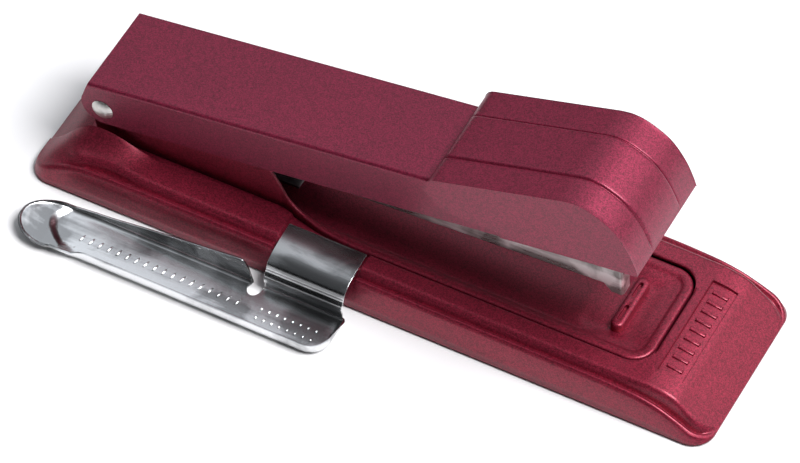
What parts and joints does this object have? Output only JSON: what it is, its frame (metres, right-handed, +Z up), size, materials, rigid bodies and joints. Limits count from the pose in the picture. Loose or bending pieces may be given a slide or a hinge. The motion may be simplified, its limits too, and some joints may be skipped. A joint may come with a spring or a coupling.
{
  "type": "desk stapler",
  "caption": "Desk stapler: low tray base with ears, tilting plated magazine, handle with rounded nose cap, and a steel staple remover clipped to one side.",
  "frame": {"origin": "middle of the base's footprint, on the table plane", "axes": "+X towards the nose where staples come out, +Z up, the staple remover is clipped on the -Y side"},
  "size_m": [0.19, 0.0696, 0.0614],
  "materials": {
    "base_paint": "maroon metallic paint with fine flake, satin",
    "arm_paint": "maroon metallic paint with fine flake, satin",
    "cap_paint": "maroon metallic paint on moulded plastic, satin",
    "pad_rubber": "matt black rubber",
    "rivet_chrome": "bright plated steel",
    "chrome_plate": "bright plated sheet steel",
    "remover_chrome": "bright plated sheet steel",
    "plain_steel": "zinc-plated steel",
    "spring_steel": "hardened spring steel",
    "staple_wire": "bright galvanised wire",
    "brass_bush": "turned brass",
    "pusher_moulding": "black moulded plastic"
  },
  "bodies": {
    "base": {"base_shell": "base_paint", "base_frame": "base_paint", "anvil": "base_paint", "base_pad": "pad_rubber", "pivot_rivet": "rivet_chrome", "pivot_spacer_near": "plain_steel", "pivot_spacer_far": "plain_steel", "arm_washers": "plain_steel", "lift_spring": "spring_steel", "lift_spring_rivet": "plain_steel"},
    "magazine": {"magazine_channel": "chrome_plate", "front_plate": "arm_paint", "staple_core": "plain_steel", "rod_anchor": "plain_steel", "guide_rod": "plain_steel", "core_rivets": "plain_steel", "pivot_bush": "brass_bush", "return_spring": "spring_steel", "staple_strip": "staple_wire", "pusher_spring": "spring_steel"},
    "pusher": {"pusher": "pusher_moulding"},
    "handle": {"arm_cover": "arm_paint", "cap": "cap_paint", "driver_blade": "spring_steel", "driver_carrier": "plain_steel", "carrier_rivets": "plain_steel"},
    "remover": {"staple_remover": "remover_chrome"}
  },
  "joints": [
    {"name": "magazine_hinge", "type": "hinge", "parent": "base", "child": "magazine", "pos_m": [-0.0787, 0, 0.0221], "axis": [0, -1, 0], "range_deg": [-4.2, 60], "stiffness_Nm_per_rad": 6, "springref_deg": 0.86, "deforming": ["lift_spring"]},
    {"name": "handle_hinge", "type": "hinge", "parent": "magazine", "child": "handle", "pos_m": [-0.0787, 0, 0.0221], "axis": [0, -1, 0], "range_deg": [-4.9, 60], "stiffness_Nm_per_rad": 6, "springref_deg": 0.52},
    {"name": "pusher_slide", "type": "slide", "parent": "magazine", "child": "pusher", "axis": [0.9974, 0, 0.0725], "range_m": [-0.036, 0], "stiffness_N_per_m": 60, "springref_m": 0.02, "deforming": ["pusher_spring"]},
    {"name": "remover_slide", "type": "slide", "parent": "base", "child": "remover", "axis": [0, -1, 0], "range_m": [0, 0.06]}
  ]
}
